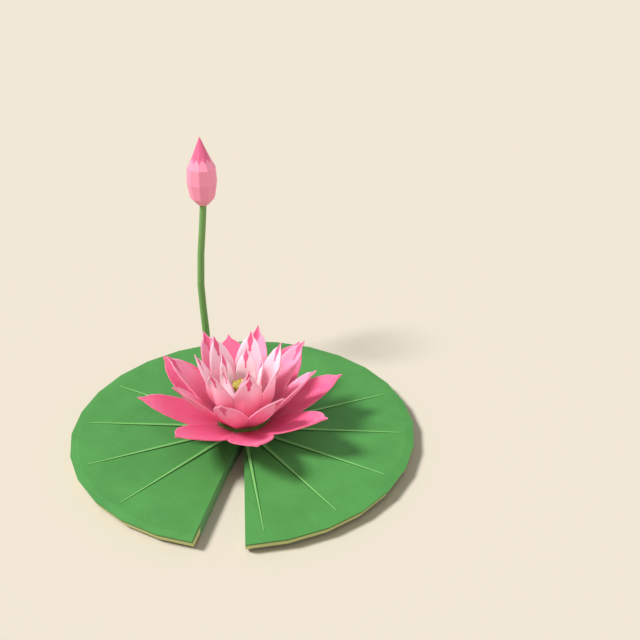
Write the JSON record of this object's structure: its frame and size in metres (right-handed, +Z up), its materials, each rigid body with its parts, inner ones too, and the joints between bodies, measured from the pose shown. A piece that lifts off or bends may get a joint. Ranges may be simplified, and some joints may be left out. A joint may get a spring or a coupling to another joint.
{
  "type": "lotus flower",
  "caption": "Open pink lotus flower with a closed bud on a slender stem, both rising from a thick round leaf with a deep notch; rests on the leaf's flat underside.",
  "frame": {"origin": "middle of the leaf on its flat underside, on the surface that it rests on", "axes": "+Z up, -Y towards the notch of the leaf, which is the front, +X to the right seen from the front"},
  "size_m": [0.26, 0.26, 0.2056],
  "materials": {
    "leaf": "satin green leaf with lighter veins and an olive lower rim",
    "receptacle": "matte dark green",
    "petal_outer": "satin hot pink, deeper towards the base",
    "petal_middle": "satin pink, rose at the base, with a deep pink tip and midrib",
    "petal_cup": "satin pale pink, rose at the base, with a deep pink tip and midrib",
    "petal_inner": "satin very pale pink with a deep pink tip and midrib",
    "pistil": "matte olive yellow",
    "stamen": "matte yellow",
    "stem": "satin leaf green",
    "bud": "satin pink with a deeper pink point"
  },
  "bodies": {
    "root": {"leaf": "leaf", "receptacle": "receptacle", "petal_outer_1": "petal_outer", "petal_outer_2": "petal_outer", "petal_outer_3": "petal_outer", "petal_outer_4": "petal_outer", "petal_outer_5": "petal_outer", "petal_outer_6": "petal_outer", "petal_outer_7": "petal_outer", "petal_outer_8": "petal_outer", "petal_middle_1": "petal_middle", "petal_middle_2": "petal_middle", "petal_middle_3": "petal_middle", "petal_middle_4": "petal_middle", "petal_middle_5": "petal_middle", "petal_middle_6": "petal_middle", "petal_middle_7": "petal_middle", "petal_middle_8": "petal_middle", "petal_cup_1": "petal_cup", "petal_cup_2": "petal_cup", "petal_cup_3": "petal_cup", "petal_cup_4": "petal_cup", "petal_cup_5": "petal_cup", "petal_cup_6": "petal_cup", "petal_cup_7": "petal_cup", "petal_inner_1": "petal_inner", "petal_inner_2": "petal_inner", "petal_inner_3": "petal_inner", "petal_inner_4": "petal_inner", "petal_inner_5": "petal_inner", "pistil": "pistil", "stamen_1": "stamen", "stamen_2": "stamen", "stamen_3": "stamen", "stamen_4": "stamen", "stamen_5": "stamen", "stamen_6": "stamen", "stamen_7": "stamen", "stamen_8": "stamen", "stamen_9": "stamen", "stamen_10": "stamen", "stamen_11": "stamen", "stamen_12": "stamen", "bud_stem": "stem", "bud": "bud"}
  },
  "joints": []
}
